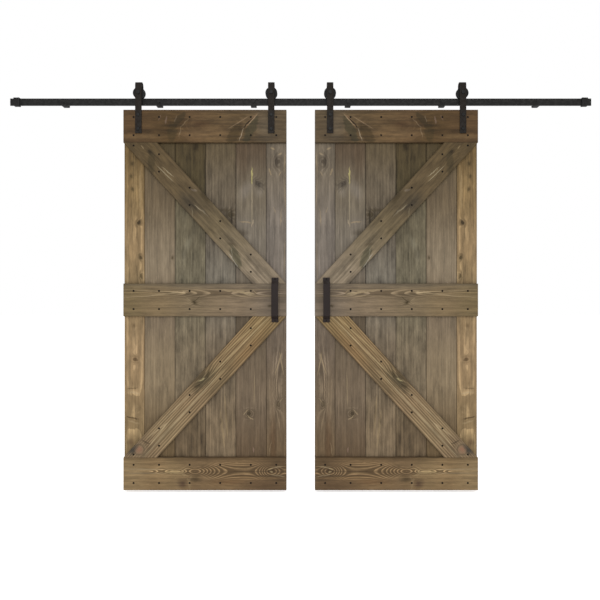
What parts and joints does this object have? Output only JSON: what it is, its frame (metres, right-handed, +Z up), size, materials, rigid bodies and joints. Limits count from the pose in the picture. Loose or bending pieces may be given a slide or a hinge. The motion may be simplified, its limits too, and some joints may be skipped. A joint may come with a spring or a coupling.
{
  "type": "pair of sliding barn doors on a flat track",
  "caption": "Pair of rustic plank barn doors with diagonal braces, hung by bent straps and grooved wheels from a black flat-bar wall track with end stops.",
  "frame": {"origin": "wall face, middle of the track's row of lag bolts", "axes": "+X along the track to the right as seen from the room, +Y into the wall, +Z up"},
  "size_m": [3.27, 0.1214, 2.292],
  "materials": {
    "plank_wood": "weathered knotty pine, stained grey-brown",
    "rail_wood": "weathered knotty pine, stained brown, with swirling knots",
    "brace_wood": "weathered knotty pine, stained grey-brown",
    "black_steel": "matte black powder coat",
    "black_bolt": "black oxide, a little worn",
    "wheel_steel": "black, tread rubbed",
    "bearing_steel": "ground steel",
    "bush_steel": "turned steel",
    "bumper_rubber": "matte black rubber",
    "pull_steel": "dark bronze-black, satin",
    "wood_screw": "dark bronze, dull"
  },
  "bodies": {
    "track_frame": {"track": "black_steel", "spacers": "black_steel", "lag_bolts": "black_bolt", "lag_washers": "black_bolt", "left_stop": "black_steel", "right_stop": "black_steel", "left_bumper": "bumper_rubber", "right_bumper": "bumper_rubber", "stop_set_screws": "black_bolt"},
    "left_door": {"left_plank_1": "plank_wood", "left_plank_2": "plank_wood", "left_plank_3": "plank_wood", "left_plank_4": "plank_wood", "left_plank_5": "plank_wood", "left_plank_6": "plank_wood", "left_top_rail": "rail_wood", "left_middle_rail": "rail_wood", "left_bottom_rail": "rail_wood", "left_upper_brace": "brace_wood", "left_lower_brace": "brace_wood", "left_board_screws": "wood_screw", "left_pull": "pull_steel", "left_pull_screws": "wood_screw", "left_strap_bolts": "black_bolt", "left_strap_nuts": "black_bolt", "left_axle_bolts": "black_bolt", "left_axle_nuts": "black_bolt", "left_axle_bushes": "bush_steel", "left_inner_strap": "black_steel", "left_outer_strap": "black_steel"},
    "left_inner_wheel_set": {"left_inner_wheel": "wheel_steel", "left_inner_bearing": "bearing_steel"},
    "left_outer_wheel_set": {"left_outer_wheel": "wheel_steel", "left_outer_bearing": "bearing_steel"},
    "right_door": {"right_plank_1": "plank_wood", "right_plank_2": "plank_wood", "right_plank_3": "plank_wood", "right_plank_4": "plank_wood", "right_plank_5": "plank_wood", "right_plank_6": "plank_wood", "right_top_rail": "rail_wood", "right_middle_rail": "rail_wood", "right_bottom_rail": "rail_wood", "right_upper_brace": "brace_wood", "right_lower_brace": "brace_wood", "right_board_screws": "wood_screw", "right_pull": "pull_steel", "right_pull_screws": "wood_screw", "right_strap_bolts": "black_bolt", "right_strap_nuts": "black_bolt", "right_axle_bolts": "black_bolt", "right_axle_nuts": "black_bolt", "right_axle_bushes": "bush_steel", "right_inner_strap": "black_steel", "right_outer_strap": "black_steel"},
    "right_inner_wheel_set": {"right_inner_wheel": "wheel_steel", "right_inner_bearing": "bearing_steel"},
    "right_outer_wheel_set": {"right_outer_wheel": "wheel_steel", "right_outer_bearing": "bearing_steel"}
  },
  "joints": [
    {"name": "left_slide", "type": "slide", "parent": "track_frame", "child": "left_door", "axis": [-1, 0, 0], "range_m": [-0.079, 0.644]},
    {"name": "left_inner_roll", "type": "hinge", "parent": "left_door", "child": "left_inner_wheel_set", "pos_m": [-0.165, -0.035, 0.0495], "axis": [0, 1, 0], "continuous": true},
    {"name": "left_outer_roll", "type": "hinge", "parent": "left_door", "child": "left_outer_wheel_set", "pos_m": [-0.909, -0.035, 0.0495], "axis": [0, 1, 0], "continuous": true},
    {"name": "right_slide", "type": "slide", "parent": "track_frame", "child": "right_door", "axis": [1, 0, 0], "range_m": [-0.079, 0.644]},
    {"name": "right_inner_roll", "type": "hinge", "parent": "right_door", "child": "right_inner_wheel_set", "pos_m": [0.165, -0.035, 0.0495], "axis": [0, 1, 0], "continuous": true},
    {"name": "right_outer_roll", "type": "hinge", "parent": "right_door", "child": "right_outer_wheel_set", "pos_m": [0.909, -0.035, 0.0495], "axis": [0, 1, 0], "continuous": true}
  ],
  "couplings": [
    {"joint": "left_inner_roll", "follows": "left_slide", "rad_per_m": -34.247},
    {"joint": "left_outer_roll", "follows": "left_slide", "rad_per_m": -34.247},
    {"joint": "right_inner_roll", "follows": "right_slide", "rad_per_m": 34.247},
    {"joint": "right_outer_roll", "follows": "right_slide", "rad_per_m": 34.247}
  ]
}
